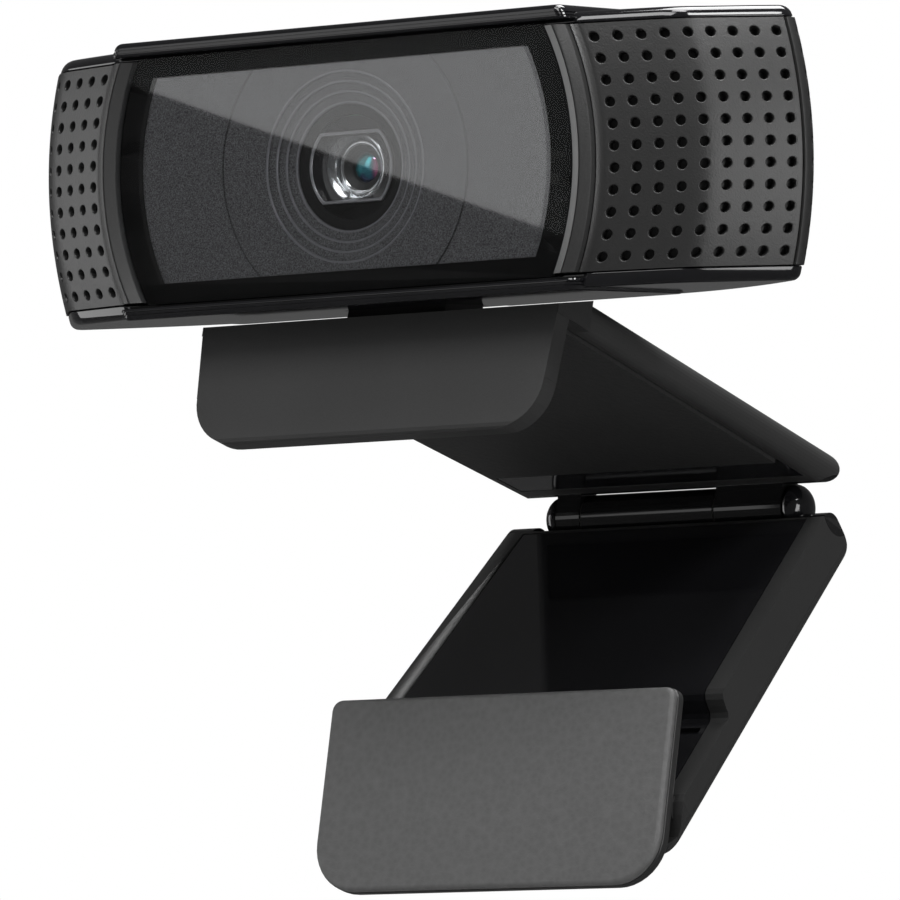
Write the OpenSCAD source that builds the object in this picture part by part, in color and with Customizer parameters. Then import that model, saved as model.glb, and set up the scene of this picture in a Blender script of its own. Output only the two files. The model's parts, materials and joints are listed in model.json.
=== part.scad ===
// Desktop webcam on a folding monitor clip.
// Frame: +Z up, -Y is the way the camera looks, +X to the camera's left-hand side as seen from the front.
// Origin: centre of the face of the rubber pad that rests on the monitor's top edge.

/* [Head] */
// Width of the camera head over both ends
head_w = 93.4; // [84:0.1:93.6]
// Depth of the head from glass to back
head_d = 24.4; // [22:0.2:30]
// Half height of the perforated ends
grille_half_h = 12.2; // [11:0.1:14.5]
// Height of the top and bottom covers over the ends
cover_h = 1.3; // [1:0.1:2]
// Extra height of the covers in the middle
brow_h = 0.7; // [0.3:0.1:1.2]
// Wall of the head's shells
head_wall = 1.3; // [1:0.1:1.8]
// Tilt of the head below the clip's plate, in degrees
head_tilt = 17.5; // [10:0.5:20]
// Gap between head and clip when the head is level
head_gap = 0.6; // [0.4:0.1:1.5]

/* [Glass and lens] */
// Radius of the round ends of the glass
glass_r = 27.8; // [26:0.1:29]
// Thickness of the glass
glass_t = 0.7; // [0.5:0.1:1]
// Half width of the side frames, at the middle of the head
frame_r = 30.2; // [29:0.1:31]
// Half height of the grey inner plate
plate_half_h = 10.4; // [9.5:0.1:11]
// Radius of the round ends of the grey inner plate
plate_r = 25; // [23:0.1:26]
// Radius of the groove around the rings
groove_r = 15.1; // [13:0.1:17]
// Outer radius of the stepped rings
ring_r = 9.5; // [8.5:0.1:11]
// Number of stepped rings
ring_n = 4; // [2:1:5]
// Outer radius of the lens barrel
barrel_r = 3.2; // [2.8:0.1:3.6]
// Focus travel of the lens
focus_travel = 0.4; // [0.2:0.05:0.6]

/* [Grille holes] */
// Diameter of one hole
hole_d = 1; // [0.7:0.05:1.3]
// Distance between the rows
row_pitch = 2.17; // [2:0.01:2.5]
// Distance between the columns
column_pitch = 2.3; // [2:0.01:2.5]

/* [Clip plate] */
// Length of the plate from the lip to its back edge
plate_l = 54.4; // [46:0.5:64]
// Width of the plate at the lip
plate_w = 43.5; // [38:0.5:50]
// Width that the plate loses towards its back edge
plate_taper = 4.3; // [0:0.1:6]
// Thickness of the plate
plate_t = 3.3; // [3:0.1:4.5]
// Distance that the lip hangs below the plate
lip_h = 11.7; // [8:0.1:15]
// Thickness of the lip
lip_t = 2.2; // [1.8:0.1:3]
// Radius of the lip's lower corners
lip_corner_r = 5; // [2:0.1:7]
// Thickness of the block that joins lip and plate
block_t = 6.1; // [5:0.1:8]
// Distance that the rubber pad stands below the plate
pad_proud = 0.4; // [0.2:0.1:1]
// Length of the rubber pad
pad_l = 45; // [36:0.5:54]

/* [Hinges] */
// Radius of the main hinge barrel
hinge_r = 2.5; // [2:0.1:3.2]
// Length of the main hinge barrel
hinge_l = 32.6; // [26:0.1:34]
// Left end of the middle knuckle
knuckle_left = -11; // [-13:0.1:-6]
// Right end of the middle knuckle
knuckle_right = 5.7; // [4:0.1:9]
// Radius of the hinge pins
pin_r = 1; // [0.8:0.05:1.3]
// Radial clearance of a pin in a turning bore
run_clear = 0.05; // [0.02:0.01:0.1]
// Gap between pieces that move past each other
move_gap = 0.3; // [0.2:0.05:0.6]

/* [Lower arm] */
// Angle of the arm below the plate, in degrees
arm_angle = 55.7; // [30:0.1:90]
// Distance from the hinge to the step for the foot
step_s = 32; // [28:0.1:36]
// Distance from the hinge to the arm's end
arm_l = 50.6; // [46:0.1:56]
// Depth from the hinge to the arm's outer face
arm_back = 5.6; // [4.8:0.1:7]
// Height from the hinge to the arm's inner face
arm_front = 1; // [0.6:0.1:1.6]
// Depth of the step that takes the foot
step_h = 2.8; // [2:0.1:3.4]
// Width that the arm gains per millimetre of length
arm_flare = 0.086; // [0:0.001:0.12]
// Width of the satin rim around the gloss panel
rim_w = 2; // [1.5:0.1:3]
// Wall of the arm's shell
arm_wall = 1.4; // [1:0.1:2]

/* [Foot] */
// Length of the foot
foot_l = 20.4; // [17:0.1:24]
// Width of the foot
foot_w = 42.4; // [36:0.1:46]
// Thickness of the foot with its pad
foot_t = 2.3; // [2:0.1:3]
// Thickness of the foot's rubber pad
foot_pad_t = 0.8; // [0.5:0.1:1.2]
// Radius of the foot's lower corners
foot_corner_r = 5.2; // [2:0.1:7]
// Distance from the hinge line to the foot's lower edge
foot_heel = 8.5; // [6:0.1:10]
// Opening of the foot from the folded place, in degrees
foot_open = 37; // [10:0.5:40]

/* [Tripod socket] */
// Wall radius of the tapped hole for a 1/4 inch, 20 threads per inch screw
socket_r = 2.55; // [2.4:0.05:3]
// Depth of the tapped hole
socket_l = 4.6; // [4:0.1:6]
// Outer radius of the brass insert
insert_r = 4; // [3.6:0.1:5]

/* [Hidden] */
$fn = 96;
eps = 0.01;

// ---- radial outline of the head: [radius from the lens axis, depth behind the glass] ----
// The head is turned about the lens axis and cut flat above and below.
end_r = head_w / 2;
// depth of the seam between the front and the back shells
seam_d = 13.4;
function arc_end(p, r, a, b) = [p[0] + r * (sin(b) - sin(a)), p[1] + r * (cos(a) - cos(b))];
function arc_run(p, r, a, b, n) = [for (i = [1:n]) arc_end(p, r, a, a + (b - a) * i / n)];
// the front of an end: a valley beside the frame, a shallow slope, a bend and a steep slope to the seam
valley_r = frame_r + 1;
valley_p = [valley_r, 1.3];
corner_r = 1.6;
corner_a = 56;
corner_b = 140;
seam_p = [end_r - corner_r * (1 - sin(corner_a)), seam_d];
shallow = arc_run([0, 0], 150, 20.5, 23.5, 4);
bend = arc_run(shallow[3], 6, 23.5, 51.5, 7);
face_raw = concat([[0, 0]], shallow, bend, arc_run(bend[6], 172, 51.5, 54.5, 5));
face_end = face_raw[len(face_raw) - 1];
// the same outline, stretched to run from the valley to the seam
front_curve = [for (p = face_raw) [valley_p[0] + p[0] * (seam_p[0] - valley_p[0]) / face_end[0],
    valley_p[1] + p[1] * (seam_p[1] - valley_p[1]) / face_end[1]]];
// the back of an end: a tight corner, then a soft curve to the flat back
back_flat_r = 28.4;
back_corner = concat([seam_p], arc_run(seam_p, corner_r, corner_a, corner_b, 7));
back_tip = back_corner[7];
back_curve = concat(back_corner, [for (i = [1:8]) let (t = i / 8, u = 1 - pow(1 - t, 1.6))
    [back_tip[0] + (back_flat_r - back_tip[0]) * t, back_tip[1] + (head_d - back_tip[1]) * u]]);
function inset(c, w) = [for (i = [0:len(c) - 1])
    let (a = c[max(i - 1, 0)], b = c[min(i + 1, len(c) - 1)], d = b - a) c[i] + w * [-d[1],
        d[0]] / norm(d)];
// the whole outline of an end, with the bend at the seam joined
end_curve_all = concat(front_curve, [for (i = [1:len(back_curve) - 1]) back_curve[i]]);
function backwards(c) = [for (i = [len(c) - 1:-1:0]) c[i]];

cover_z = grille_half_h + 0.1;
side_top = grille_half_h + cover_h;
brow_top = side_top + brow_h;
groove_gap = 0.15;

// ---- tilt hinge of the head ----
tilt_d = 14.6;
tilt_h = 4.95;
tilt_axis_z = plate_t + tilt_h + head_gap + pad_proud;
lip_y = -20;
tilt_axis_y = lip_y + 4.45;
neck_w = 12;
neck_r = 3.2;
cheek_t = 1.6;
washer_t = 0.5;

// ---- main hinge and foot hinge ----
hinge_y = lip_y + plate_l + 0.5;
hinge_z = pad_proud - 2;
knuckle_gap = 0.25;
cap_l = 2.2;
foot_axis_s = step_s + 13.3;
foot_axis_n = arm_front - step_h - 1.6;
foot_gap = 0.15;
foot_back = foot_gap + 1.6;
foot_knuckle_r = 1.55;
foot_face = foot_back + foot_t;
foot_knuckle_w = 14;
arm_w0 = plate_w - plate_taper + 0.1;

// ---- small parts ----
board_d = 12.4;
board_t = 1.2;
screw_r = 1;
screw_head_r = 1.9;

// places a child given in head coordinates: X, depth behind the glass, height above the lens axis
module in_head() {
    translate([0, tilt_axis_y, tilt_axis_z]) rotate([head_tilt, 0, 0])
        translate([0, -tilt_d, brow_top - tilt_h]) children();
}
// places a child given in arm coordinates: X, distance from the hinge as a minus, height above it
module in_arm() {
    translate([0, hinge_y, hinge_z]) rotate([arm_angle, 0, 0]) children();
}
// places a child given in foot coordinates: X, height above the foot's hinge, height over its back
module in_foot() {
    in_arm() translate([0, -foot_axis_s, foot_axis_n]) rotate([foot_open, 0, 0]) children();
}
// turns a [radius, depth] outline about the lens axis
module turned(pts) {
    rotate([-90, 0, 0]) rotate_extrude($fn = 180) polygon(pts);
}
// a slab across the whole head between two heights
module between(z0, z1) {
    translate([-head_w, -5, z0]) cube([2 * head_w, head_d + 10, z1 - z0]);
}
// a bar along X
module bar_x(r, x0, x1) {
    translate([x0, 0, 0]) rotate([0, 90, 0]) cylinder(h = x1 - x0, r = r);
}
// a bar along the depth of the head
module bar_d(r, d0, d1) {
    translate([0, d0, 0]) rotate([-90, 0, 0]) cylinder(h = d1 - d0, r = r);
}
// a box across X, from d0 to d1 and from z0 to z1
module box_x(w, d0, d1, z0, z1) {
    translate([-w / 2, d0, z0]) cube([w, d1 - d0, z1 - z0]);
}
// an outline given as [Y, Z], drawn out along X
module across(w, pts) {
    rotate([90, 0, 90]) linear_extrude(w, center = true) polygon(pts);
}
// a rod with round ends
module rod(a, b, r) {
    d = b - a;
    l = norm(d);
    translate(a) rotate([0, acos(d[2] / l), atan2(d[1], d[0])]) cylinder(h = l, r = r);
    translate(b) sphere(r);
}
function ring_pts(c, r, a, b, n) = [for (i = [0:n]) let (t = a + (b - a) * i / n) c + r * [cos(t),
    sin(t)]];

// ---- head: covers, glass and shells ----
module front_glass() color([0.03, 0.03, 0.04]) in_head() {
    intersection() {
        bar_d(glass_r, 0, glass_t);
        between(-grille_half_h - 0.25, grille_half_h + 0.25);
    }
}
// the black print behind the glass, with its clear window
module glass_mask() color([0.01, 0.01, 0.01]) in_head() {
    mask_t = 0.1;
    difference() {
        intersection() {
            bar_d(glass_r, glass_t, glass_t + mask_t);
            between(-grille_half_h - 0.25, grille_half_h + 0.25);
        }
        intersection() {
            bar_d(plate_r, glass_t - 1, glass_t + 1);
            between(-plate_half_h, plate_half_h);
        }
    }
}
module inner_faceplate() color([0.2, 0.2, 0.21]) in_head() {
    face = glass_t + 0.15;
    step = (ring_r - 6.3) / max(ring_n - 1, 1);
    difference() {
        intersection() {
            bar_d(glass_r - 1, face, face + 2);
            between(-grille_half_h + 0.3, grille_half_h - 0.3);
        }
        for (i = [0:ring_n - 1]) bar_d(ring_r - step * i, face - 1, face + 0.3 * (i + 1));
        bar_d(5.6, face - 1, face + 3);
        difference() {
            bar_d(groove_r, face - 1, face + 0.25);
            bar_d(groove_r - 0.25, face - 2, face + 1);
        }
    }
}
// two ridges beside the glass, on one carrier behind the faceplate
module side_frames() color([0.17, 0.17, 0.18]) in_head() {
    face = glass_t + 2.25;
    intersection() {
        turned([[glass_r + 0.1, 0.05], [frame_r - 1.1, -0.45], [frame_r - 0.8, -0.4], [frame_r, 0.15],
            [frame_r, face + 1.4], [glass_r + 0.1, face + 1.4]]);
        between(-grille_half_h, grille_half_h);
    }
    difference() {
        intersection() {
            bar_d(glass_r + 0.2, face + 0.1, face + 1.3);
            between(-grille_half_h, grille_half_h);
        }
        bar_d(6.2, face - 1, face + 3);
        for (s = [-1, 1]) translate([s * (groove_r - 3), 0, 0]) bar_d(0.8, face - 1, face + 3);
    }
}
// a cover: the head's outline over the ends, higher and further forward in the middle
module cover(brow_front) {
    ends = concat([[0, 1.3], [valley_r - 0.6, 1.3]], inset(end_curve_all, 0.2), [[0, head_d - 0.2]]);
    lip_in = head_wall + 0.2;
    back_in = inset(back_curve, lip_in);
    intersection() {
        turned(ends);
        between(cover_z, side_top);
    }
    // the brow with two fine grooves along its front
    difference() {
        intersection() {
            bar_d(frame_r - 0.2, -brow_front, head_d - 4);
            union() {
                box_x(2 * frame_r, -brow_front, head_d - 4, cover_z + 0.45, brow_top - 0.5);
                box_x(2 * frame_r, -brow_front + 0.4, head_d - 4.6, cover_z + 0.4, brow_top);
            }
        }
        for (z = [cover_z + 0.75, cover_z + 1.15]) box_x(2 * frame_r, -brow_front - 1, -brow_front + 0.2,
            z, z + 0.12);
    }
    // the inner lip that closes the front and the back
    intersection() {
        turned(concat([[0, 2.9], [valley_r, 2.9]], inset(front_curve, lip_in),
            [for (i = [8:len(back_in) - 1]) back_in[i]], [[0, head_d - lip_in]]));
        box_x(2 * head_w, 4.7, head_d, cover_z - 1, cover_z + eps);
    }
}
module top_cover() color([0.02, 0.02, 0.02]) in_head() cover(0.35);
module bottom_cover() color([0.02, 0.02, 0.02]) in_head() {
    difference() {
        mirror([0, 0, 1]) cover(0.35);
        // the slot that the clip's neck swings in
        box_x(neck_w + 2 * move_gap, tilt_d - 6, tilt_d + 6, -brow_top - 1, -grille_half_h + 2);
        at_cradle_screws() cylinder(h = 5.3, r = 0.82, center = true);
    }
}
// hole places on the front of an end: [radius, depth, slope]
function run_length(c, i) = i == 0 ? 0 : run_length(c, i - 1) + norm(c[i] - c[i - 1]);
function at_length(c, s, i = 1) = (i == len(c) - 1 || run_length(c, i) >= s)
    ? let (t = (s - run_length(c, i - 1)) / norm(c[i] - c[i - 1]), d = c[i] - c[i - 1])
        concat(c[i - 1] + t * d, [atan2(d[1], d[0])])
    : at_length(c, s, i + 1);
first_column = 0.75;
column_n = floor((run_length(front_curve,
    len(front_curve) - 1) - first_column - hole_d / 2) / column_pitch) + 1;
rows_each_way = floor((grille_half_h - hole_d / 2 - 0.3) / row_pitch);
module hole_columns(columns, curve, start, pitch) {
    for (c = [0:columns - 1]) {
        h = at_length(curve, start + c * pitch);
        for (r = [-rows_each_way:rows_each_way]) {
            z = r * row_pitch;
            x = sqrt(h[0] * h[0] - z * z);
            translate([x, h[1], z]) rotate([0, -atan2(z, x), 0])
                rotate([-90, 0, 0]) rotate([0, -h[2], 0]) translate([0, 0, -1])
                    cylinder(h = 2 + head_wall, d = hole_d, $fn = 16);
        }
    }
}
module grille() {
    inner = inset(front_curve, head_wall);
    difference() {
        intersection() {
            turned(concat([[frame_r + 0.1, 0.6], [valley_r - 0.35, 1.25]], front_curve,
                [[seam_p[0] - head_wall - 0.3, seam_d]], backwards(inner),
                    [[frame_r + 0.1, 1.3 + head_wall]]));
            between(-grille_half_h, grille_half_h);
            translate([frame_r * 0.7, -5, -head_w]) cube([head_w, head_d + 10, 2 * head_w]);
        }
        hole_columns(column_n, front_curve, first_column, column_pitch);
    }
    // bosses that the housing screws go into
    difference() {
        intersection() {
            union() for (z = [-1, 1]) translate([post_x, 0, z * post_z]) bar_d(2.4, 1, 10.9);
            turned(concat([[0, 9]], inset(front_curve, head_wall - 0.2),
                [[seam_p[0] - head_wall - 0.3, seam_d], [0, seam_d]]));
        }
        for (z = [-1, 1]) translate([post_x, 0, z * post_z]) bar_d(screw_r + 0.02, 6.8, 12);
    }
}
module right_grille() color([0.1, 0.1, 0.105]) in_head() grille();
module left_grille() color([0.1, 0.1, 0.105]) in_head() mirror([1, 0, 0]) grille();
module rear_housing() color([0.07, 0.07, 0.075]) in_head() {
    inner = inset(back_curve, head_wall);
    difference() {
        union() {
            intersection() {
                turned(concat(back_curve, [[0, head_d]], [[0, head_d - head_wall]], backwards(inner)));
                box_x(2 * head_w, seam_d + groove_gap, 2 * head_d, -grille_half_h, grille_half_h);
            }
            // four posts for the screws that hold the shells together
            intersection() {
                union() {
                    at_posts() bar_d(2.4, 11, head_d);
                    for (x = [-1, 1]) translate([x * mic_x, 0, 0]) bar_d(3.2, mic_d, head_d);
                }
                turned(concat([[0, 0], [end_r - 1, 0]], inset(back_curve, 0.3), [[0, head_d - 0.3]]));
            }
        }
        for (m = [0, 1]) mirror([m, 0, 0]) hole_columns(1, back_curve, 1.55, column_pitch);
        translate([0, 0, gland_z]) bar_d(gland_r + 0.05, head_d - 4, head_d + 1);
        at_posts() {
            bar_d(screw_r + 0.1, 10, head_d + 1);
            bar_d(screw_head_r + 0.1, screw_seat, head_d + 1);
        }
    }
}

// ---- lens ----
bezel_r = 5.1;
bezel_flat = 3.6;
bezel_front = 1.9;
funnel_front = 2.75;
throat_d = 3.35;
holder_front = 4.6;
holder_w = 10.6;
barrel_front = 3.4 + focus_travel;
barrel_back = 10.3;
// the flat-sided black ring with its silver funnel
module lens_bezel() color([0.05, 0.05, 0.055]) in_head() {
    difference() {
        intersection() {
            bar_d(bezel_r, bezel_front, holder_front);
            box_x(3 * bezel_r, 0, head_d, -bezel_flat, bezel_flat);
        }
        turned([[0, bezel_front - 1], [4.3, bezel_front - 1], [4.2, bezel_front + 0.2],
            [3.55, funnel_front],
            [2.75, throat_d - 0.05], [2.75, throat_d], [0, throat_d]]);
        bar_d(barrel_r + run_clear, throat_d - eps, holder_front + 1);
    }
}
module lens_barrel() color([0.08, 0.08, 0.08]) in_head() {
    turned([[1.5, barrel_front + 0.7], [2.5, barrel_front], [barrel_r, barrel_front],
        [barrel_r, barrel_back],
        [2.9, barrel_back], [2.9, barrel_front + 1.9], [1.9, barrel_front + 1.9],
            [1.9, barrel_front + 1.5],
        [1.5, barrel_front + 1.5]]);
}
module front_lens() color([0.1, 0.12, 0.2]) in_head() {
    turned([[0, barrel_front + 0.95], [0.5, barrel_front + 0.98], [1, barrel_front + 1.08],
        [1.4, barrel_front + 1.25], [1.48, barrel_front + 1.3], [1.48, barrel_front + 1.5],
        [1.88, barrel_front + 1.52], [1.88, barrel_front + 1.88], [0, barrel_front + 1.88]]);
}
module lens_spacer() color([0.02, 0.02, 0.02]) in_head() {
    turned([[2, barrel_front + 1.92], [2.88, barrel_front + 1.92], [2.88, barrel_front + 3],
        [2.3, barrel_front + 3]]);
}
module rear_lenses() color([0.75, 0.8, 0.85]) in_head() {
    for (d = [barrel_front + 3.03, barrel_front + 4.5])
        turned([[0, d], [2.88, d + 0.1], [2.88, d + 1.2], [1, d + 1.4], [0, d + 1.45]]);
}
module focus_coil() color([0.72, 0.4, 0.2]) in_head() {
    difference() {
        bar_d(barrel_r + 0.6, 6.4, 9);
        bar_d(barrel_r, 6, 10);
    }
}
module focus_magnets() color([0.6, 0.6, 0.62]) in_head() {
    for (a = [0:90:270]) rotate([0, a, 0]) translate([barrel_r + 0.9, 6, -1.6])
        cube([holder_w / 2 - 0.6 - barrel_r - 0.9, 3.6, 3.2]);
}
module lens_holder() color([0.06, 0.06, 0.06]) in_head() {
    difference() {
        box_x(holder_w, holder_front, board_d, -holder_w / 2, holder_w / 2);
        box_x(holder_w - 1.2, holder_front + 0.8, board_d + 1, 0.6 - holder_w / 2, holder_w / 2 - 0.6);
        bar_d(barrel_r + run_clear, holder_front - 1, holder_front + 2);
    }
}
module focus_springs() color([0.8, 0.75, 0.55]) in_head() {
    for (d = [holder_front + 0.8, 9.75]) difference() {
        box_x(holder_w - 1.2, d, d + 0.1, 0.6 - holder_w / 2, holder_w / 2 - 0.6);
        bar_d(barrel_r + 0.75, d - 1, d + 1);
    }
}
module infrared_filter() color([0.5, 0.7, 0.75]) in_head() box_x(6, board_d - 0.9, board_d - 0.6, -2.5,
    2.5);
module image_sensor() color([0.15, 0.16, 0.2]) in_head() box_x(7, board_d - 0.6, board_d, -3, 3);

// ---- electronics ----
board_back = board_d + board_t;
board_low = holder_w / -2 - 0.2;
led_x = groove_r - 3;
module main_board() color([0.05, 0.3, 0.15]) in_head() {
    difference() {
        box_x(50, board_d, board_back, board_low, 10.4);
        for (x = [-1, 1]) translate([x * 22.5, 0, 8]) bar_d(1.3, board_d - 1, board_back + 1);
    }
}
module image_processor() color([0.05, 0.05, 0.05]) in_head() translate([13, 0, 0]) box_x(8, board_back,
    board_back + 1, -1.5, 6.5);
module shield_can() color([0.75, 0.76, 0.78]) in_head() translate([13, 0, 0]) difference() {
    box_x(13, board_back, board_back + 2.2, -4, 9);
    box_x(12.5, board_back - 1, board_back + 1.95, -3.75, 8.75);
}
module cable_connector() color([0.9, 0.88, 0.8]) in_head() translate([-10, 0, 0]) difference() {
    box_x(9, board_back, board_back + 3.6, 3, 7);
    box_x(7.6, board_back + 1, board_back + 4, 3.8, 6.2);
}
mic_x = end_r - 9.25;
mic_d = 10.5;
module microphone(side) color([0.75, 0.72, 0.6]) in_head() translate([side * mic_x, 0, 0]) difference() {
    box_x(3.8, mic_d - 1.1, mic_d, -1.5, 1.5);
    bar_d(0.4, mic_d - 2, mic_d - 0.8);
}
module left_microphone() microphone(-1);
module right_microphone() microphone(1);
module microphone_boots() color([0.1, 0.1, 0.1]) in_head() for (s = [-1, 1])
    translate([s * mic_x, 0, 0]) difference() {
    bar_d(3.2, mic_d - 2, mic_d);
    bar_d(2.5, mic_d - 3, mic_d + 1);
}
module status_leds() color([0.95, 0.95, 0.85]) in_head() for (s = [-1, 1]) translate([s * led_x, 0, 0])
    box_x(1.6, board_d - 0.6, board_d, -0.8, 0.8);
module light_guides() color([0.9, 0.95, 1]) in_head() for (s = [-1, 1]) translate([s * led_x, 0, 0])
    bar_d(0.6, glass_t + 2.3, board_d - 0.7);

// ---- fasteners and gland of the head ----
post_x = end_r - 11.25;
post_z = 8;
screw_seat = head_d - 4.7;
module at_posts() for (x = [-1, 1], z = [-1, 1]) translate([x * post_x, 0, z * post_z]) children();
module housing_screws() color([0.7, 0.7, 0.72]) in_head() at_posts() {
    difference() {
        bar_d(screw_head_r, screw_seat, screw_seat + 1.2);
        for (a = [0, 90]) rotate([0, a, 0]) box_x(2.2, screw_seat + 0.6, screw_seat + 2, -0.25, 0.25);
    }
    bar_d(screw_r, 7, screw_seat + eps);
}
gland_z = 4;
gland_r = 3;
cord_r = 1.6;
module cable_gland() color([0.04, 0.04, 0.04]) in_head() translate([0, 0, gland_z]) difference() {
    turned([[cord_r, head_d - head_wall - 1.1], [4.2, head_d - head_wall - 1.1],
        [4.2, head_d - head_wall - 0.05],
        [gland_r, head_d - head_wall - 0.05], [gland_r, head_d + 1], [2.6, head_d + 6],
            [2.3, head_d + 6.4], [cord_r, head_d + 6.4]]);
    for (d = [1.8:1.3:5]) difference() {
        bar_d(gland_r + 1, head_d + d, head_d + d + 0.5);
        bar_d(2.3, head_d + d - 1, head_d + d + 1);
    }
}

// ---- tilt hinge ----
cradle_x = neck_w / 2 + washer_t;
cradle_base = cover_z - 1;
tilt_pin_r = pin_r + 0.5;
axis_in_head = -(brow_top - tilt_h);
foot_screw_x = cradle_x + cheek_t + 2;
module at_axis() translate([0, tilt_d, axis_in_head]) children();
module tilt_cradle() color([0.55, 0.55, 0.57]) in_head() difference() {
    for (m = [0, 1]) mirror([m, 0, 0]) {
        intersection() {
            union() {
                at_axis() bar_x(3.4, cradle_x, cradle_x + cheek_t);
                translate([cradle_x, tilt_d - 3.4, -cradle_base])
                    cube([cheek_t, 6.8, cradle_base + axis_in_head]);
            }
            between(-cradle_base, 0);
        }
        translate([cradle_x, tilt_d - 3.4, -cradle_base]) cube([5.4, 6.8, 1.2]);
    }
    at_axis() bar_x(tilt_pin_r, -20, 20);
    at_cradle_screws() cylinder(h = 6, r = 0.82, center = true);
}
module at_cradle_screws() for (x = [-1, 1], d = [-1.8, 1.8])
    translate([x * foot_screw_x, tilt_d + d, -cradle_base + 1.2]) children();
module cradle_screws() color([0.7, 0.7, 0.72]) in_head() at_cradle_screws() {
    difference() {
        cylinder(h = 0.8, r = 1.4);
        for (a = [0, 90]) rotate([0, 0, a]) translate([-0.9, -0.2, 0.4]) cube([1.8, 0.4, 1]);
    }
    translate([0, 0, -2.6]) cylinder(h = 2.6 + eps, r = 0.8);
}
module tilt_pin() color([0.8, 0.8, 0.82]) in_head() at_axis()
    bar_x(tilt_pin_r, -cradle_x - cheek_t - 0.5, cradle_x + cheek_t + 0.5);
module friction_washers() color([0.85, 0.85, 0.8]) in_head() at_axis() for (m = [0, 1])
    mirror([m, 0, 0]) difference() {
    bar_x(1.95, neck_w / 2 + 0.03, cradle_x - 0.03);
    bar_x(tilt_pin_r + 0.03, 0, 20);
}

// ---- clip plate ----
plate_round = plate_t / 2;
plate_z = pad_proud + plate_round;
plate_back = lip_y + plate_l;
function plate_half(y) = plate_w / 2 - plate_taper / 2 * (y - lip_y) / plate_l;
function plate_outline(y0, y1, side) = [[-plate_half(y0) + side, y0], [plate_half(y0) - side, y0],
    [plate_half(y1) - side, y1], [-plate_half(y1) + side, y1]];
module plate_prism(y0, y1, side, z0, z1) translate([0, 0, z0]) linear_extrude(z1 - z0)
    polygon(plate_outline(y0, y1, side));
// the plate's cross-section with one round side, drawn out along that side's taper
module plate_side() {
    translate([plate_w / 2, lip_y, 0]) rotate([0, 0, atan2(plate_taper / 2, plate_l)])
        translate([0, plate_l + 9, 0])
        rotate([90, 0, 0]) linear_extrude(plate_l + 18)
            polygon(concat([[-2 * plate_w, pad_proud + plate_t], [-2 * plate_w, pad_proud]],
                ring_pts([-plate_round, plate_z], plate_round, -90, 90, 14)));
}
// the plate's side walls, seen along X: block, lip and neck
block_top = tilt_axis_z - tilt_h / cos(head_tilt + 3) - 0.15;
function under_head(y) = block_top + (y - tilt_axis_y) * tan(head_tilt + 3);
block_back = lip_y - lip_t + block_t;
pad_depth = 1.4;
module lip() {
    low = pad_proud - lip_h;
    w = plate_w / 2;
    shrink = 0.07;
    // front outline of the lip, with round lower corners
    outline = concat([[w, pad_proud + eps], [w - shrink * (lip_h - lip_corner_r), low + lip_corner_r]],
        ring_pts([w - lip_corner_r - 0.5, low + lip_corner_r], lip_corner_r, 0, -90, 12));
    intersection() {
        translate([0, lip_y, 0]) rotate([90, 0, 0]) linear_extrude(lip_t)
            polygon(concat(outline, [for (p = backwards(outline)) [-p[0], p[1]]]));
        // a soft front edge along the bottom
        across(2 * plate_w, [[lip_y, 9], [lip_y - lip_t, 9], [lip_y - lip_t, low + 0.5],
            [lip_y - lip_t + 0.15, low + 0.15], [lip_y - lip_t + 0.5, low], [lip_y, low]]);
    }
}
module neck() across(neck_w, concat(ring_pts([tilt_axis_y, tilt_axis_z], neck_r, -25, 180, 24),
    [[lip_y + 0.5, pad_proud + 1], [tilt_axis_y + 2, pad_proud + 1]]));
module at_hinge() translate([0, hinge_y, hinge_z]) children();
module outer_knuckle(x0, x1) translate([(x0 + x1) / 2, hinge_y, hinge_z])
    across(x1 - x0, concat([[-hinge_r, 2.9]], ring_pts([0, 0], hinge_r, 180, 393, 26), [[-0.6, 3.4]]));
module bracket() color([0.09, 0.09, 0.095]) {
    y1 = plate_back - plate_round;
    difference() {
        union() {
            // plate and block, cut level with the head's underside at its lowest tilt
            difference() {
                union() {
                    intersection() {
                        plate_side();
                        mirror([1, 0, 0]) plate_side();
                        across(2 * plate_w, concat([[lip_y, pad_proud + plate_t], [lip_y, pad_proud]],
                            ring_pts([y1, plate_z], plate_round, -90, 90, 14)));
                    }
                    plate_prism(lip_y - lip_t, block_back, 0, pad_proud, plate_t + 4);
                }
                across(2 * plate_w, [[lip_y - 9, under_head(lip_y - 9)],
                    [tilt_axis_y, under_head(tilt_axis_y)],
                    [tilt_axis_y, plate_t + 9], [lip_y - 9, plate_t + 9]]);
            }
            lip();
            neck();
            outer_knuckle(-hinge_l / 2 + cap_l, knuckle_left - knuckle_gap / 2);
            outer_knuckle(knuckle_right + knuckle_gap / 2, hinge_l / 2 - cap_l);
        }
        // seat of the pad and the liner
        plate_prism(lip_y + 0.2, plate_back - 3.6, rim_w, pad_proud - 1, pad_depth);
        // room for the arm's middle knuckle
        at_hinge() bar_x(hinge_r + move_gap, knuckle_left - knuckle_gap / 2,
            knuckle_right + knuckle_gap / 2);
        at_hinge() bar_x(pin_r, -hinge_l, hinge_l);
        translate([0, tilt_axis_y, tilt_axis_z]) bar_x(tilt_pin_r + run_clear, -neck_w, neck_w);
    }
}
module upper_pad() color([0.16, 0.16, 0.17]) plate_prism(lip_y + 0.3, lip_y + pad_l, rim_w + 0.15, 0,
    pad_depth);
module bracket_liner() color([0.02, 0.02, 0.02])
    plate_prism(lip_y + pad_l + 0.15, plate_back - 3.75, rim_w + 0.15, pad_proud + 0.05, pad_depth);
module main_hinge_pin() color([0.8, 0.8, 0.82]) at_hinge() bar_x(pin_r, -hinge_l / 2 + cap_l - 0.3,
    hinge_l / 2 - cap_l + 0.3);
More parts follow.
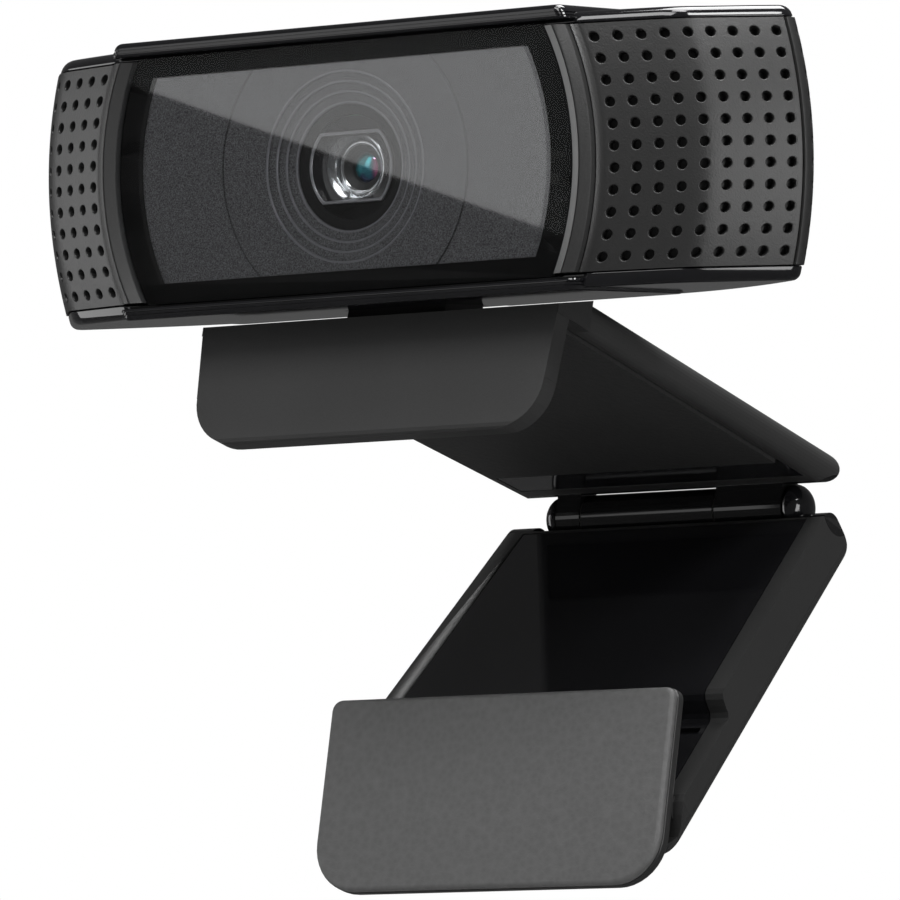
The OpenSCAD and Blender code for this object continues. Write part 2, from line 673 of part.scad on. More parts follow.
module hinge_caps() color([0.02, 0.02, 0.02]) at_hinge() for (m = [0, 1]) mirror([m, 0, 0])
    translate([hinge_l / 2 - cap_l, 0, 0]) rotate([0, 90, 0]) rotate_extrude()
        polygon(concat([[0, 0.35], [pin_r + 0.05, 0.35], [pin_r + 0.05, 0]],
            [for (i = [0:8]) let (a = i * 90 / 8) [hinge_r * cos(a), 0.3 + (cap_l - 0.3) * sin(a)]]));
module hinge_washers() color([0.85, 0.85, 0.8]) at_hinge() for (x = [knuckle_left, knuckle_right])
    difference() {
    bar_x(hinge_r - 0.4, x - knuckle_gap / 2 + 0.03, x + knuckle_gap / 2 - 0.03);
    bar_x(pin_r + 0.03, x - 1, x + 1);
}

// ---- lower arm: outlines are [distance from the hinge, height above it] ----
floor_n = arm_front - step_h;
panel_t = 1.1;
top_corner = 2;
outer_corner = 3;
end_thin = 0.9;
function along(pts) = [for (p = pts) [-p[0], p[1]]];
step_curve = [[step_s - 0.7, arm_front], [step_s - 0.1, arm_front - 0.2],
    [step_s + 0.25, arm_front - 0.7],
    [step_s + 0.4, arm_front - 1.4], [step_s + 0.5, floor_n + 0.6], [step_s + 0.8, floor_n + 0.15],
        [step_s + 1.2, floor_n]];
end_curve = [[foot_axis_s - 0.5, floor_n], [foot_axis_s + 0.3, foot_axis_n + 1.3], [foot_axis_s + 1.3,
    foot_axis_n + 0.4],
    [foot_axis_s + 2.2, foot_axis_n - 0.8], [foot_axis_s + 2.7, end_thin - arm_back],
        [arm_l - 0.9, end_thin - arm_back],
    [arm_l, 0.15 - arm_back], [arm_l - 0.15, -arm_back]];
arm_outline = concat(ring_pts([1.1 + top_corner, arm_front - top_corner], top_corner, 180, 90, 8),
    step_curve, end_curve,
    ring_pts([1.1 + outer_corner, outer_corner - arm_back], outer_corner, 270, 180, 10));
function arm_half(s) = (arm_w0 + arm_flare * s) / 2;
// a prism along the arm's thickness that follows its flare
module arm_prism(s0, s1, side, n0, n1) translate([0, 0, n0]) linear_extrude(n1 - n0)
    polygon([[-arm_half(s0) + side, -s0], [arm_half(s0) - side, -s0], [arm_half(s1) - side, -s1],
        [-arm_half(s1) + side, -s1]]);
// the arm's plan, with round corners at its end
module arm_plan() {
    r = 5;
    h = arm_half(arm_l);
    side = ring_pts([h - r, -arm_l + r], r, 0, -90, 10);
    linear_extrude(20, center = true)
        polygon(concat([[arm_half(0), 0]], side, [for (p = backwards(side)) [-p[0], p[1]]],
            [[-arm_half(0), 0]]));
}
// rounds the two long outer edges
module edge_rounding(r) {
    for (m = [0, 1]) mirror([m, 0, 0]) difference() {
        hull() for (s = [-2, arm_l + 2]) translate([arm_half(s) - r, -s, -arm_back - 1])
            cube([r + 1, 0.01, r + 1]);
        rod([arm_half(-3) - r, 3, r - arm_back], [arm_half(arm_l + 3) - r, -arm_l - 3, r - arm_back], r);
    }
}
socket_s = 22;
module arm_shell() color([0.09, 0.09, 0.095]) in_arm() {
    difference() {
        union() {
            difference() {
                intersection() {
                    across(2 * plate_w, along(arm_outline));
                    arm_plan();
                }
                edge_rounding(1.8);
                // room for the hinge barrel
                arm_prism(-3, 3, (arm_w0 - hinge_l) / 2 - move_gap, -arm_back - 1, arm_front + 2);
                // seat of the gloss panel, and the hollow under it
                intersection() {
                    arm_prism(3.3, foot_axis_s - foot_knuckle_r - 0.5, rim_w, -arm_back, 3);
                    across(2 * plate_w, along(concat([[0, arm_front - panel_t]],
                        [for (p = step_curve) [p[0] - 0.9, p[1] - panel_t]],
                        [[foot_axis_s, floor_n - panel_t], [foot_axis_s, 9], [0, 9]])));
                }
                arm_prism(4.2, foot_axis_s - foot_knuckle_r - 1.2, rim_w + 0.8, arm_wall - arm_back, 3);
                // room for the foot's knuckle
                box_x(foot_knuckle_w + 2 * move_gap, -arm_l - 1, -foot_axis_s + foot_knuckle_r + 0.3,
                    -arm_back - 1, 3);
            }
            // middle knuckle of the main hinge
            bar_x(hinge_r, knuckle_left + knuckle_gap / 2, knuckle_right - knuckle_gap / 2);
            translate([(knuckle_left + knuckle_right) / 2, 0, 0])
                box_x(knuckle_right - knuckle_left - knuckle_gap, -3.3, 0, 0.1 - hinge_r, 0.6);
            translate([(knuckle_left + knuckle_right) / 2, 0, 0])
                box_x(knuckle_right - knuckle_left - knuckle_gap, -4.4, 0, 0.1 - hinge_r,
                    arm_front - panel_t - 0.1);
            // boss of the tripod socket
            translate([0, -socket_s, 0.1 - arm_back]) cylinder(h = arm_back + arm_front - panel_t - 0.2,
                r = insert_r + 1.2);
            // bosses of the foot's pin
            for (m = [0, 1]) mirror([m, 0, 0]) {
                x0 = foot_knuckle_w / 2 + move_gap;
                x1 = arm_half(foot_axis_s) - 1;
                translate([0, -foot_axis_s, foot_axis_n]) bar_x(foot_knuckle_r, x0, x1);
                translate([x0, -foot_axis_s - foot_knuckle_r, 0.2 - arm_back])
                    cube([x1 - x0, 2 * foot_knuckle_r, arm_back + foot_axis_n - 0.2]);
            }
        }
        bar_x(pin_r + run_clear, -hinge_l, hinge_l);
        translate([0, -socket_s, -arm_back - 1]) cylinder(h = socket_l + 1, r = insert_r);
        translate([0, -foot_axis_s, foot_axis_n]) bar_x(pin_r + run_clear, -foot_w / 2 + 4,
            foot_w / 2 - 4);
    }
}
module arm_panel() color([0.02, 0.02, 0.02]) in_arm() difference() {
    intersection() {
        arm_prism(3.45, foot_axis_s - foot_knuckle_r - 0.65, rim_w + 0.15, -arm_back, 3);
        across(2 * plate_w, along(concat([[0, arm_front - panel_t + 0.05], [0, arm_front - 0.05]],
            [for (p = step_curve) [p[0] - 0.05, p[1] - 0.05]],
            [[foot_axis_s, floor_n - 0.05], [foot_axis_s, floor_n - panel_t + 0.05]],
            backwards([for (p = step_curve) [p[0] - 0.85, p[1] - panel_t + 0.05]]))));
    }
    translate([arm_half(step_s) - 5.4, -step_s - 3, floor_n - 0.6]) cube([2.8, 1, 1]);
}
module tripod_insert() color([0.8, 0.65, 0.3]) in_arm() translate([0, -socket_s, -arm_back])
    difference() {
    cylinder(h = socket_l, r = insert_r);
    translate([0, 0, -1]) cylinder(h = socket_l + 2, r = socket_r);
}

// ---- foot: X, height above its hinge line, height over the hinge ----
foot_low = -foot_heel;
foot_high = foot_l - foot_heel;
module foot_blank(side, w0, w1) {
    r = foot_corner_r - side;
    half = foot_w / 2 - side;
    low = ring_pts([half - r, foot_low + side + r], r, 0, -90, 12);
    high = ring_pts([half - 1.4, foot_high - side - 1], 1, 90, 0, 6);
    outline = concat(high, low);
    translate([0, 0, w0]) linear_extrude(w1 - w0)
        polygon(concat(outline, [for (p = backwards(outline)) [-p[0], p[1]]]));
}
foot_plate_t = foot_t - foot_pad_t;
module foot_plate() color([0.05, 0.05, 0.055]) in_foot() difference() {
    union() {
        foot_blank(0, foot_back + 0.4, foot_back + foot_plate_t);
        foot_blank(0.4, foot_back, foot_back + 0.4 + eps);
        bar_x(foot_knuckle_r, -foot_knuckle_w / 2, foot_knuckle_w / 2);
        box_x(foot_knuckle_w, -foot_knuckle_r, foot_knuckle_r, 0, foot_back + eps);
    }
    bar_x(pin_r, -foot_knuckle_w, foot_knuckle_w);
}
module foot_pad() color([0.24, 0.24, 0.25]) in_foot() {
    foot_blank(0.1, foot_back + foot_plate_t, foot_face - 0.3);
    foot_blank(0.3, foot_face - 0.3 - eps, foot_face);
}
module foot_pin() color([0.8, 0.8, 0.82]) in_foot() bar_x(pin_r, -foot_w / 2 + 4.5, foot_w / 2 - 4.5);

front_glass();
glass_mask();
inner_faceplate();
side_frames();
top_cover();
bottom_cover();
left_grille();
right_grille();
rear_housing();
lens_bezel();
lens_barrel();
front_lens();
rear_lenses();
lens_spacer();
focus_coil();
focus_magnets();
lens_holder();
focus_springs();
infrared_filter();
image_sensor();
main_board();
image_processor();
shield_can();
cable_connector();
left_microphone();
right_microphone();
microphone_boots();
status_leds();
light_guides();
housing_screws();
cable_gland();
tilt_cradle();
cradle_screws();
tilt_pin();
friction_washers();
bracket();
bracket_liner();
upper_pad();
main_hinge_pin();
hinge_caps();
hinge_washers();
arm_shell();
arm_panel();
tripod_insert();
foot_pin();
foot_plate();
foot_pad();
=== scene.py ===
# %% [markdown]
# # A webcam on a monitor clip
# The CAD model fixes every size and joint. This lesson dresses it: the shiny covers, the grained grilles, the glass
# with its lens behind, and the folding clip. Each piece is built in the coordinates of the part that carries it.

# %% Load the frame
import json
import math
import bpy
import bmesh
from mathutils import Matrix, Vector


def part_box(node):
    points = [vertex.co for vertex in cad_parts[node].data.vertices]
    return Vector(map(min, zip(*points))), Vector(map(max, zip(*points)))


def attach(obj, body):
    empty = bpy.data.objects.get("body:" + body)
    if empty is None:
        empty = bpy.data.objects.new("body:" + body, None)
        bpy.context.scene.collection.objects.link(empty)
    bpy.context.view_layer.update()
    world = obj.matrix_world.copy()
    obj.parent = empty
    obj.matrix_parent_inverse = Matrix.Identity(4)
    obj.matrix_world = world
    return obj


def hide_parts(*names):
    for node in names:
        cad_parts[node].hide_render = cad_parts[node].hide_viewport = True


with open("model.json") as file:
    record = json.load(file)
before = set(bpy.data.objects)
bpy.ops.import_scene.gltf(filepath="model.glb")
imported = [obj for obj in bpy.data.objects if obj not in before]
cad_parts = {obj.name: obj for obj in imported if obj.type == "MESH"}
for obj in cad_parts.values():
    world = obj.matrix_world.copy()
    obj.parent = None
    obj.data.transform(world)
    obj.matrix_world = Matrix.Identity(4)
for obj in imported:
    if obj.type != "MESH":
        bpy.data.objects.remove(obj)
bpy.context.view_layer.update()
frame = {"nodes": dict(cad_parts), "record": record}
record = frame["record"]

# %% [markdown]
# ## Where the parts sit
# The head tilts and the foot leans, so each has axes of its own. They come from the record: the focus slide points
# along the lens axis, and the foot's mount gives the normal of its face.

# %% Axes of the head and the foot
MM = 0.001
X = Vector((1, 0, 0))
joints = {j["name"]: j for j in record["behaviour"]["joints"]}
mounts = {m["name"]: m for m in record["mounts"]}


def axes(origin, out, up):
    """A matrix whose columns are X, out and up."""
    columns = [X, out.normalized(), up.normalized(), Vector(origin)]
    return Matrix([[c[row] for c in columns] for row in range(3)] + [[0, 0, 0, 1]])


forward = Vector(joints["lens_focus"]["axis"])
glass_low, glass_high = (Vector(c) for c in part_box("front_glass"))
GLASS_T = 0.7
glass_centre = (glass_low + glass_high) / 2 + forward * GLASS_T / 2 * MM
HEAD = axes(glass_centre, -forward, X.cross(-forward))
foot_up = Vector(mounts["foot_face"]["axis"])
FOOT = axes(joints["foot_fold"]["pos_m"], foot_up.cross(X), foot_up)
print("glass centre in mm:", [round(v / MM, 2) for v in glass_centre])

# %% [markdown]
# ## Shader maths
# A finish is a small graph. Wrapping a socket in a class lets the graph be written as sums, and one method makes any
# other node.

# %% A socket that can be used in a sum


class Value:
    def __init__(self, finish, socket):
        self.finish, self.socket = finish, socket

    def maths(self, operation, a, b):
        return self.finish.node("ShaderNodeMath", {"operation": operation}, {0: a, 1: b})

    def __add__(self, other):
        return self.maths("ADD", self, other)

    def __sub__(self, other):
        return self.maths("SUBTRACT", self, other)

    def __rsub__(self, other):
        return self.maths("SUBTRACT", other, self)

    def __mul__(self, other):
        return self.maths("MULTIPLY", self, other)

    def __pow__(self, other):
        return self.maths("POWER", self, other)

    def __gt__(self, other):
        return self.maths("GREATER_THAN", self, other)

    def __lt__(self, other):
        return self.maths("LESS_THAN", self, other)

    __radd__, __rmul__ = __add__, __mul__


print("sockets can be added, taken away, multiplied, raised and compared")

# %% A material under construction


class Finish:
    def __init__(self, name, **sockets):
        self.material = bpy.data.materials.new(name)
        self.material.use_nodes = True
        self.tree = self.material.node_tree
        self.shader = self.tree.nodes["Principled BSDF"]
        self.output = self.tree.nodes["Material Output"]
        self.place = self.node("ShaderNodeTexCoord", {}, {}, "Object")
        self.set(self.shader, sockets)

    def set(self, node, sockets):
        for key, value in sockets.items():
            key = key.replace("_", " ") if isinstance(key, str) else key
            if isinstance(value, Value):
                self.tree.links.new(value.socket, node.inputs[key])
            else:
                node.inputs[key].default_value = value

    def node(self, kind, settings, sockets, out=0):
        made = self.tree.nodes.new(kind)
        for key, value in settings.items():
            setattr(made, key, value)
        self.set(made, sockets)
        return Value(self, made.outputs[out])

    def along(self, origin, axis):
        """Distance in mm from a point, measured along an axis."""
        offset = self.node("ShaderNodeVectorMath", {"operation": "SUBTRACT"}, {0: self.place, 1: tuple(origin)})
        pointing = tuple(v / MM for v in axis)
        return self.node("ShaderNodeVectorMath", {"operation": "DOT_PRODUCT"}, {0: offset, 1: pointing}, "Value")

    def noise(self, size_mm, detail=2, rough=0.5):
        """A cloudy pattern from 0 to 1 whose blobs are about that size."""
        return self.node("ShaderNodeTexNoise", {}, {"Vector": self.place, "Scale": 1 / (size_mm * MM),
                                                    "Detail": detail, "Roughness": rough}, "Fac")

    def cells(self, size_mm):
        """Distance from the middle of each cell of a cobbled pattern."""
        return self.node("ShaderNodeTexVoronoi", {}, {"Vector": self.place, "Scale": 1 / (size_mm * MM)}, "Distance")

    def ramp(self, value, low, high):
        """0 below low, 1 above high."""
        return self.node("ShaderNodeMapRange", {}, {0: value, 1: low, 2: high, 3: 0.0, 4: 1.0})

    def blend(self, factor, a, b):
        return self.node("ShaderNodeMix", {"data_type": "RGBA"}, {0: factor, 6: rgba(a), 7: rgba(b)}, 2)

    def bump(self, height, depth_mm):
        return self.node("ShaderNodeBump", {}, {"Height": height, "Distance": depth_mm * MM, "Strength": 1.0},
                         "Normal")

    def paint(self, **sockets):
        self.set(self.shader, sockets)
        return self.material


def rgba(colour):
    return colour if isinstance(colour, Value) else (*colour, 1)


print("a finish starts from one shader, placed by the part's own coordinates")

# %% [markdown]
# ## Finishes
# Moulded plastic is never one flat shade. Piano black has faint orange peel and smears, a grained housing glitters
# because its tiny bumps face every way, and a soft pad has the creases of leather.

# %% Gloss black and satin black


def piano_black(name, smear=0.05):
    f = Finish(name)
    cloud = f.noise(9, 3)
    peel = f.noise(1.6, 1)
    dust = f.ramp(f.noise(0.22, 1), 0.74, 0.8)
    return f.paint(Base_Color=f.blend(cloud, (0.004, 0.004, 0.0045), (0.008, 0.008, 0.009)),
                   Roughness=0.05 + cloud * smear + dust * 0.1, IOR=1.52, Normal=f.bump(peel, 0.0035))


def grained_black(name, shade, rough, grain_mm, depth_mm, hinge=0):
    """hinge is how far from the main hinge's axis the plastic is polished instead of grained."""
    f = Finish(name)
    grain = f.noise(grain_mm, 2, 0.6)
    cloud = f.noise(14, 2)
    tone = grain * 0.7 + cloud * 0.3
    rough_here = 1.0
    if hinge:
        out, up = f.along(HINGE, (0, 1, 0)), f.along(HINGE, (0, 0, 1))
        rough_here = (out * out + up * up) ** 0.5 > hinge
    base = f.blend(tone, [shade * 0.6] * 3, [shade * 1.4] * 3)
    return f.paint(Base_Color=f.blend(rough_here, (0.004, 0.004, 0.0042), base),
                   Roughness=0.1 + (rough - 0.16 + cloud * 0.08 + grain * 0.06) * rough_here,
                   Normal=f.bump(grain * rough_here, depth_mm))


HINGE = joints["arm_fold"]["pos_m"]
POLISHED_R = 3.2
gloss_black = piano_black("gloss_black")
satin_black = grained_black("satin_black", 0.016, 0.36, 0.16, 0.012)
arm_black = grained_black("arm_black", 0.016, 0.36, 0.16, 0.01, POLISHED_R)
lip_black = grained_black("clip_black", 0.022, 0.42, 0.14, 0.008, POLISHED_R)
grille_black = grained_black("grille_grain", 0.014, 0.38, 0.2, 0.024)
frame_black = grained_black("frame_grain", 0.02, 0.42, 0.2, 0.03)
frame_light = grained_black("frame_satin", 0.026, 0.34, 0.12, 0.004)
matte_black = grained_black("matte_black", 0.01, 0.6, 0.2, 0.01)
black_rubber = grained_black("black_rubber", 0.016, 0.65, 0.3, 0.015)
blacks = (gloss_black, satin_black, arm_black, lip_black, grille_black, frame_black, frame_light, matte_black,
          black_rubber)
print("black finishes:", ", ".join(m.name for m in blacks))

# %% Faceplate, pads, board and plastics


def speckled_plate():
    f = Finish("grey_faceplate")
    speck = f.noise(0.13, 1, 0.4)
    cloud = f.noise(20, 2)
    tone = f.ramp(speck, 0.3, 0.72)
    return f.paint(Base_Color=f.blend(tone, (0.008, 0.008, 0.009), (0.1, 0.1, 0.104)), Metallic=0.35,
                   Roughness=0.4 + cloud * 0.06, Normal=f.bump(speck, 0.012))


def leather_pad(name, shade):
    f = Finish(name)
    crease = f.cells(0.75)
    fine = f.noise(0.3, 3, 0.6)
    tone = crease * 0.5 + fine * 0.5
    return f.paint(Base_Color=f.blend(tone, [shade * 0.75] * 3, [shade * 1.25] * 3), Roughness=0.5 + fine * 0.12,
                   Normal=f.bump(crease * 0.6 + fine * 0.8, 0.035))


def plain(name, colour, rough, metal=0.0, scale_mm=1.5):
    """A plain part with a slight cloud in its shade and gloss."""
    f = Finish(name, Metallic=metal)
    cloud = f.noise(scale_mm, 3)
    return f.paint(Base_Color=f.blend(cloud, [c * 0.8 for c in colour], [min(1, c * 1.12) for c in colour]),
                   Roughness=rough - 0.05 + cloud * 0.1, Normal=f.bump(f.noise(scale_mm / 6, 1), 0.002))


speckled_grey = speckled_plate()
foot_leather = leather_pad("foot_leather", 0.065)
# The clip's pad is the foot's grey leather made darker: painted shade for the shade it sits in under the clip.
pad_leather_painted_shade = leather_pad("pad_leather_painted_shade", 0.02)
bright_steel = plain("bright_steel", (0.62, 0.62, 0.64), 0.28, 1.0)
# A lighter, shinier finish for the rings' lips: a painted highlight.
ring_lip_painted_highlight = plain("ring_lip_painted_highlight", (0.13, 0.13, 0.14), 0.3, 0.5, 0.5)
rim_grey = plain("rim_grey", (0.22, 0.22, 0.23), 0.3, 0.7, 0.5)
funnel_silver = plain("funnel_silver", (0.6, 0.61, 0.62), 0.22, 1.0, 0.6)
ring_silver = plain("ring_silver", (0.8, 0.81, 0.82), 0.16, 1.0, 0.6)
insert_brass = plain("insert_brass", (0.75, 0.56, 0.24), 0.3, 1.0)
spring_brass = plain("spring_brass", (0.75, 0.65, 0.4), 0.3, 1.0)
copper_wire = plain("copper_wire", (0.72, 0.36, 0.16), 0.35, 1.0, 0.4)
magnet_metal = plain("magnet_metal", (0.5, 0.5, 0.52), 0.35, 1.0)
board_green = plain("board_green", (0.02, 0.16, 0.07), 0.3, 0.0, 3)
chip_black = plain("chip_black", (0.03, 0.03, 0.032), 0.5)
white_plastic = plain("white_plastic", (0.75, 0.74, 0.7), 0.45)
clear_plastic = plain("clear_plastic", (0.8, 0.85, 0.9), 0.1)
black_print = plain("black_print", (0.004, 0.004, 0.004), 0.6)
black_print.node_tree.nodes["Principled BSDF"].inputs["Specular IOR Level"].default_value = 0.08
print("finishes so far:", len(bpy.data.materials))

# %% [markdown]
# ## Glass
# The front glass is flat and thin, so it hardly bends what is behind it. A mix of clear and mirror, with more mirror
# where the glass is looked at aslant, shows both the parts inside and the card's reflection. The mirror is weak over
# the printed border, so the border stays black. The lens has a teal and deep blue coating, with a painted reflection
# on it: more teal towards the top and a rose patch on one side.

# %% Front glass and lens
WINDOW_H, WINDOW_R = 10.44, 24.96
MIRROR, BORDER_SHARE = 0.05, 0.12


def flat_glass():
    f = Finish("clear_glass", Base_Color=(1, 1, 1, 1), Metallic=1.0, Roughness=0.015)
    across, height = f.along(glass_centre, X), f.along(glass_centre, HEAD.col[2].to_3d())
    radius = (across * across + height * height) ** 0.5
    window = (height * height < WINDOW_H ** 2) * (radius < WINDOW_R)
    clear = f.node("ShaderNodeBsdfTransparent", {}, {"Color": (0.93, 0.935, 0.94, 1)})
    facing = f.node("ShaderNodeLayerWeight", {}, {"Blend": 0.5}, "Facing")
    film = (MIRROR + facing ** 5 * (1 - MIRROR)) * (BORDER_SHARE + window * (1 - BORDER_SHARE))
    both = f.node("ShaderNodeMixShader", {}, {0: film, 1: clear, 2: Value(f, f.shader.outputs[0])})
    f.tree.links.new(both.socket, f.output.inputs["Surface"])
    return f.material


def coated_lens():
    """Teal and deep blue, uneven as a coating is, with a painted reflection: more teal towards the top and a rose
    patch on one side. Under a hard clear coat.
    """
    f = Finish("lens_coating", Roughness=0.12, IOR=1.7, Coat_Weight=1.0, Coat_Roughness=0.02)
    across, height = f.along(glass_centre, X), f.along(glass_centre, HEAD.col[2].to_3d())
    # Painted reflection: the height term makes the top more teal, and the rose patch on one side stands where the
    # coating reflects a lamp. The noise is the coating's own uneven tint.
    teal_band_and_reflection = f.noise(1.3, 1) * 0.9 + height * 0.25
    teal = f.blend(f.ramp(teal_band_and_reflection, 0.25, 0.6), (0.005, 0.03, 0.12), (0.02, 0.5, 0.55))
    rose_reflection = f.ramp(across + f.noise(0.8, 1) * 0.6, 0.9, 1.3)
    return f.paint(Base_Color=f.blend(rose_reflection * 0.8, teal, (0.85, 0.12, 0.35)), Metallic=0.7)


clear_glass = flat_glass()
lens_coating = coated_lens()
print("glass and lens:", clear_glass.name, lens_coating.name)

# %% [markdown]
# ## Tools for shapes
# Most pieces here are outlines with soft rims. A stack of rings, each a little smaller towards the rim, makes them
# with clean faces, and a sweep of a profile about the lens axis, cut off level, makes the turned ends.

# %% Making a piece from points and faces
STEPS = 5
SHARP_FROM = math.radians(35)
JOIN_MM = 0.002
WELD_MM = 0.001


def make_piece(name, points, faces, place, body, materials, slot, replaces=(), pick=None, weigh=True):
    """points in mm in the carrier's own axes. pick gives a face's material number."""
    mesh = bpy.data.meshes.new(name)
    mesh.from_pydata([place @ (Vector(p) * MM) for p in points], [], faces)
    for material in materials:
        mesh.materials.append(material)
    if pick:
        mesh.polygons.foreach_set("material_index", pick)
    bm = bmesh.new()
    bm.from_mesh(mesh)
    bmesh.ops.remove_doubles(bm, verts=bm.verts, dist=JOIN_MM * MM)
    bmesh.ops.recalc_face_normals(bm, faces=bm.faces)
    bm.to_mesh(mesh)
    bm.free()
    mesh.shade_smooth()
    mesh.set_sharp_from_angle(angle=SHARP_FROM)
    piece = bpy.data.objects.new(name, mesh)
    bpy.context.scene.collection.objects.link(piece)
    if weigh:
        piece.modifiers.new("even shading", "WEIGHTED_NORMAL").keep_sharp = True
    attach(piece, body)
    if replaces:
        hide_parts(*replaces)
    print(name, len(mesh.vertices), "points")
    return piece


def stack(rings, closed=False):
    """Faces between rings of equal length. Both ends get a flat cap unless the stack closes on itself."""
    count = len(rings[0])
    points = [p for ring in rings for p in ring]
    faces = []
    for k in range(len(rings) - (0 if closed else 1)):
        a, b = k * count, (k + 1) % len(rings) * count
        faces += [(a + i, a + (i + 1) % count, b + (i + 1) % count, b + i) for i in range(count)]
    if not closed:
        faces += [tuple(range(count)), tuple(range(len(points) - count, len(points)))]
    return points, faces


def inset(loop, by):
    """The anticlockwise loop of [u, v] drawn in by a distance."""
    out = []
    for i, here in enumerate(loop):
        before, after = Vector(loop[i - 1]), Vector(loop[(i + 1) % len(loop)])
        here = Vector(here)
        e, g = (here - before).normalized(), (after - here).normalized()
        m, n = Vector((-e.y, e.x)), Vector((-g.y, g.x))
        mid = (m + n).normalized()
        out.append(here + mid * by / max(0.4, mid.dot(m)))
    return out


def soft_levels(low, high, r_low, r_high):
    """(height, how far drawn in) from the lower rim to the upper one."""
    quarter = [math.pi / 2 * i / STEPS for i in range(STEPS + 1)]
    rise = [(low + r_low * (1 - math.cos(t)), r_low * (1 - math.sin(t))) for t in quarter]
    return rise + [(high - r_high * (1 - math.cos(t)), r_high * (1 - math.sin(t))) for t in reversed(quarter)]


def soft_slab(loop, low, high, r_low, r_high):
    """A plate with soft rims. loop is a list, or a function of the height."""
    rings = []
    for height, by in soft_levels(low, high, r_low, r_high):
        outline = loop(height) if callable(loop) else loop
        rings.append([(p[0], p[1], height) for p in inset(outline, by)])
    return stack(rings)


def arc(u, v, r, start, end, n=8):
    turn = [math.radians(start + (end - start) * i / n) for i in range(n + 1)]
    return [(u + r * math.cos(t), v + r * math.sin(t)) for t in turn]


def lathe(profile, n=64, outer=None):
    """Rings about the lens axis from [radius, depth] points. outer may shape a radius by its angle."""
    shape = outer or (lambda r, t: r)
    turns = [2 * math.pi * i / n for i in range(n)]
    return [[(shape(r, t) * math.cos(t), d, shape(r, t) * math.sin(t)) for t in turns] for r, d in profile]


print("a soft rim has", STEPS + 1, "rings")

# %% [markdown]
# ## The turned outline of the head
# Seen from above, each end rises out of the valley beside the frame, bends, runs nearly straight to the seam, then
# turns a tight corner into a soft back. The whole head is turned about the lens axis, so at a height z an outline
# point moves in to sqrt(r² - z²).

# %% Outline of the ends
housing_low, housing_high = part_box("rear_housing")
END_R = (housing_high[0] - housing_low[0]) / 2 / MM
HEAD_D = 24.4
SEAM_D = 13.4
VALLEY = (31.2, 1.3)
GRILLE_H = 12.2
CORNER_R = 1.6
CORNER_A, CORNER_B = 56, 140
BACK_FLAT, BACK_POWER, BACK_STEPS = 28.4, 1.6, 12
FACE_ARCS = ((150, 20.5, 23.5, 12), (6, 23.5, 51.5, 14), (172, 51.5, 54.5, 12))


def arc_from(p, r, a, b, n):
    """Points of an arc that starts at p, after p, as its slope goes from a to b degrees."""
    turns = [math.radians(a + (b - a) * i / n) for i in range(n + 1)]
    return [(p[0] + r * (math.sin(t) - math.sin(turns[0])), p[1] + r * (math.cos(turns[0]) - math.cos(t)))
            for t in turns[1:]]


seam = (END_R - CORNER_R * (1 - math.sin(math.radians(CORNER_A))), SEAM_D)
raw = [(0, 0)]
for radius, slope_from, slope_to, count in FACE_ARCS:
    raw += arc_from(raw[-1], radius, slope_from, slope_to, count)
front_curve = [(VALLEY[0] + r * (seam[0] - VALLEY[0]) / raw[-1][0],
                VALLEY[1] + d * (seam[1] - VALLEY[1]) / raw[-1][1]) for r, d in raw]
back_curve = [seam] + arc_from(seam, CORNER_R, CORNER_A, CORNER_B, 10)
tip = back_curve[-1]
back_curve += [(tip[0] + (BACK_FLAT - tip[0]) * t, tip[1] + (HEAD_D - tip[1]) * (1 - (1 - t) ** BACK_POWER))
               for t in (i / BACK_STEPS for i in range(1, BACK_STEPS + 1))]
print("half width of the head in mm:", round(END_R, 2))

# %% [markdown]
# ## Covers
# The two gloss black covers are the webcam's brightest lines, because their soft rims catch the lights. Over the ends
# they follow the turned outline; in the middle a higher brow stands a little forward, with two fine grooves.

# %% Top and bottom covers
COVER_LOW, COVER_HIGH, BROW_HIGH = 12.3, 13.5, 14.2
BROW_R, BROW_FRONT, BROW_BACK = 30.8, -0.35, 20.4
COVER_IN = 0.2
SLOT_X, SLOT_FRONT, SLOT_BACK = 6.3, 8.6, 20.6


def cover_outline(z):
    curve = [(VALLEY[0] - 0.6, 1.5)] + front_curve + back_curve[1:]
    half = [(math.sqrt(max(r - COVER_IN, 0) ** 2 - z * z), d) for r, d in curve]
    return half + [(-x, d) for x, d in reversed(half)]


def brow_outline(z):
    half = math.sqrt(BROW_R ** 2 - z * z)
    r = 1.0
    right = arc(half - r, BROW_FRONT + r, r, -90, 0, 5) + arc(half - r, BROW_BACK - r, r, 0, 90, 5)
    return right + [(-x, d) for x, d in reversed(right)]


def cover(name, up, node, high, brow_high, soft, end_soft):
    place = HEAD @ Matrix.Diagonal((1, 1, up, 1))
    ends = soft_slab(cover_outline, COVER_LOW, high, 0.15, end_soft)
    brow_levels = [(12.75, 0.25), (12.8, 0.1), (12.95, 0.0), (13.05, 0.0), (13.07, 0.14), (13.15, 0.14), (13.17, 0.0),
                   (13.37, 0.0), (13.39, 0.14), (13.47, 0.14), (13.49, 0.0)]
    brow_levels += [lv for lv in soft_levels(13.0, brow_high, 0.1, soft) if lv[0] > 13.5]
    brow = stack([[(u, v, z) for u, v in inset(brow_outline(z), by)] for z, by in brow_levels])
    return [make_piece(name, *ends, place, "head", [gloss_black], "gloss_black", (node,)),
            make_piece(name + "_brow", *brow, place, "head", [gloss_black], "gloss_black")]


cover("top_shell", 1, "top_cover", COVER_HIGH, BROW_HIGH, 0.5, 0.95)

# %% [markdown]
# The bottom cover has the slot that the clip's neck swings in. The face is flat there, so an exact boolean cuts it
# clean. It is cut before the even shading, and the tool is thrown away.

# %% Bottom cover


